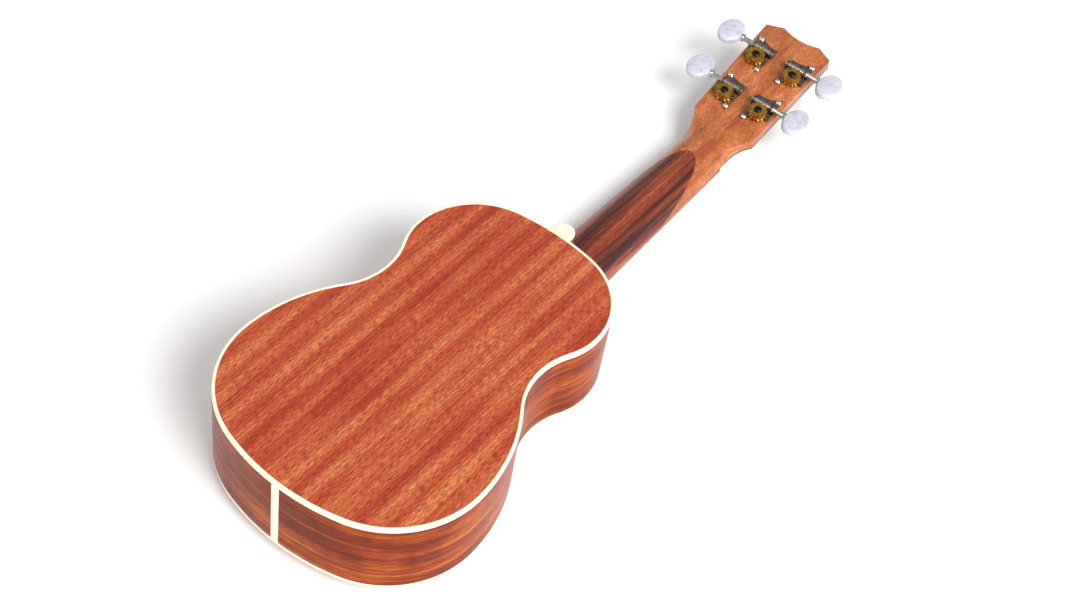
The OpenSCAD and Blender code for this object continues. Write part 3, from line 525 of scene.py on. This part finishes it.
def makeWorm(name, originX):
    # the worm in one piece with its shaft, along Z, from the CAD worm's inner end to the button's near edge
    side = 1 if originX > 0 else -1
    reach = [abs(corner.x - originX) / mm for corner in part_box(f"tuner_{name}_button")]
    inner = [side * (corner.x - originX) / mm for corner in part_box(f"tuner_{name}_worm")]
    piece = turnShaft(min(reach), min(inner))
    rib = cutThread()
    selectOnly(rib)
    piece.select_set(True)
    bpy.context.view_layer.objects.active = piece
    bpy.ops.object.join()
    mergeAndTurnOut(piece)
    shadeSmooth(piece, 35)
    return piece


def makeButton(length, width):
    # an oval pebble, flat on Z, with a rounded rim; both faces are drawn out in smaller ovals to a low crown
    thickness = (button["thickness"] - 2 * button["crown"]) * mm
    bpy.ops.object.select_all(action="DESELECT")
    bpy.ops.mesh.primitive_cylinder_add(vertices=button["sides"], radius=width / 2, depth=thickness)
    piece = bpy.context.object
    bpy.ops.object.mode_set(mode="EDIT")
    bpy.ops.mesh.select_all(action="SELECT")
    bpy.ops.transform.resize(value=(length / width, 1, 1), center_override=(0, 0, 0))
    bpy.ops.object.mode_set(mode="OBJECT")
    roundEdges(piece, button["rim"], 6, 60)
    selectOnly(piece)
    bpy.ops.object.mode_set(mode="EDIT")
    for way in (-1, 1):
        selectFaces(piece, lambda face: way * face.normal.z > 0.99 and len(face.vertices) == button["sides"])
        radius, height = 1.0, 0.0
        for ring in range(1, button["rings"] + 1):
            nextRadius = math.cos(math.radians(button["lastRing"] * ring / button["rings"]))
            nextHeight = button["crown"] * mm * (1 - nextRadius ** 2)
            bpy.ops.mesh.extrude_region_move(
                TRANSFORM_OT_translate={"value": (0, 0, way * (nextHeight - height))})
            bpy.ops.transform.resize(value=(nextRadius / radius, nextRadius / radius, 1),
                                     center_override=(0, 0, 0))
            radius, height = nextRadius, nextHeight
    bpy.ops.object.mode_set(mode="OBJECT")
    mergeAndTurnOut(piece)
    shadeSmooth(piece, 40)
    return piece


def seat(piece, matrix):
    # puts the piece in its place and takes that place into its mesh
    piece.matrix_world = matrix
    selectOnly(piece)
    bpy.ops.object.transform_apply()


joints = {joint["name"]: joint for joint in frame["joints"]}
buttonLow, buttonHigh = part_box("tuner_first_button")
plainButton = makeButton(buttonHigh.x - buttonLow.x, button["across"] * mm)
for name in stringNames:
    wind, turn = joints[f"tuner_{name}_wind"], joints[f"tuner_{name}_turn"]
    headTilt = math.atan2(-wind["axis"][1], wind["axis"][2])
    originX = wind["pos_m"][0]
    outward = Matrix.Rotation(0 if originX > 0 else math.pi, 4, "Z")
    worm = makeWorm(name, originX)
    worm.name = f"worm_{name}"
    seat(worm, Matrix.Translation((originX, turn["pos_m"][1], turn["pos_m"][2]))
         @ Matrix.Rotation(headTilt, 4, "X") @ outward @ Matrix.Rotation(math.pi / 2, 4, "Y"))
    finishPiece(worm, f"tuner_{name}_worm", materials["nickel"], f"tuner_{name}_key")
    knob = ownCopy(plainButton, f"button_{name}")
    low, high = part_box(f"tuner_{name}_button")
    seat(knob, Matrix.Translation((low + high) / 2)
         @ Matrix.Rotation(headTilt + math.radians(button["tilt"]), 4, "X"))
    finishPiece(knob, f"tuner_{name}_button", materials["pearl"], f"tuner_{name}_key")
bpy.data.objects.remove(plainButton)
print("worms and buttons done")


studio = {
    # sizes and places in m, powers in W
    "floorSize": 9.0, "floorColour": "#fbfbfa", "skyColour": "#ffffff", "skyStrength": 0.48,
    "keySize": 3.0, "keyPower": 250.0, "keyPlace": (3.1, -0.9, 2.7),
    "fillSize": 2.4, "fillPower": 30.0, "fillPlace": (-2.2, -1.9, 2.6)}


def addFloor():
    # Matt white paper: even and dull, with a faint tooth drawn coarser than the real one
    bpy.ops.object.select_all(action="DESELECT")
    bpy.ops.mesh.primitive_plane_add(size=studio["floorSize"], location=(0, 0, cadBox[0].z))
    floor = bpy.context.object
    floor.name = "floor"
    material, tree, shader, place = newMaterial("pale paper sweep", {
        "Base Color": linear(studio["floorColour"]), "Roughness": 0.85, "Specular IOR Level": 0.2})
    tooth = addNode(tree, "ShaderNodeTexNoise", {"Scale": 1 / (2 * mm), "Detail": 2.0}, {"Vector": place})
    bump = addNode(tree, "ShaderNodeBump", {"Strength": 0.04, "Distance": 0.05 * mm},
                   {"Height": tooth.outputs[0]})
    tree.links.new(bump.outputs[0], shader.inputs["Normal"])
    paint(floor, material)


def addLamp(name, place, size, power):
    # a round soft lamp that faces the object
    data = bpy.data.lights.new(name, "AREA")
    data.shape = "DISK"
    data.size = size
    data.energy = power
    lamp = bpy.data.objects.new(name, data)
    bpy.context.scene.collection.objects.link(lamp)
    lamp.location = place
    lamp.rotation_euler = (-Vector(place)).to_track_quat("-Z", "Y").to_euler()


addFloor()
addLamp("key lamp", studio["keyPlace"], studio["keySize"], studio["keyPower"])
addLamp("fill lamp", studio["fillPlace"], studio["fillSize"], studio["fillPower"])
world = bpy.data.worlds.new("studio")
world.use_nodes = True
bpy.context.scene.world = world
sky = world.node_tree.nodes["Background"]
sky.inputs["Color"].default_value = linear(studio["skyColour"])
sky.inputs["Strength"].default_value = studio["skyStrength"]
bpy.context.scene.view_settings.view_transform = "Standard"
print("studio done")


view = {
    # angles in degrees, distance in m, lens and sensor in mm; the aim is a point on the back, so many mm to
    # the right of the middle line and so many from the tail
    "azimuth": 29.43, "elevation": 49.06, "roll": 10.83, "distance": 1.0344, "lens": 59.15, "sensor": 36,
    "aim": (27.9, 193.6)}


def addCamera():
    # stands back from its aim by the view's angles and distance, and is rolled about its own line of sight
    azimuth, elevation = math.radians(view["azimuth"]), math.radians(view["elevation"])
    back = Vector((math.sin(azimuth) * math.cos(elevation), -math.cos(azimuth) * math.cos(elevation),
                   math.sin(elevation)))
    low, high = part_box("back_binding")
    aim = Vector((view["aim"][0] * mm, low.y + view["aim"][1] * mm, high.z))
    right = (-back).cross(Vector((0, 0, 1))).normalized()
    up = right.cross(-back)
    roll = math.radians(view["roll"])
    rightRolled = math.cos(roll) * right + math.sin(roll) * up
    upRolled = -math.sin(roll) * right + math.cos(roll) * up
    data = bpy.data.cameras.new("camera")
    data.lens = view["lens"]
    data.sensor_width = view["sensor"]
    camera = bpy.data.objects.new("camera", data)
    bpy.context.scene.collection.objects.link(camera)
    turn = Matrix((rightRolled, upRolled, back)).transposed().to_4x4()
    camera.matrix_world = Matrix.Translation(aim + back * view["distance"]) @ turn
    bpy.context.scene.camera = camera


addCamera()
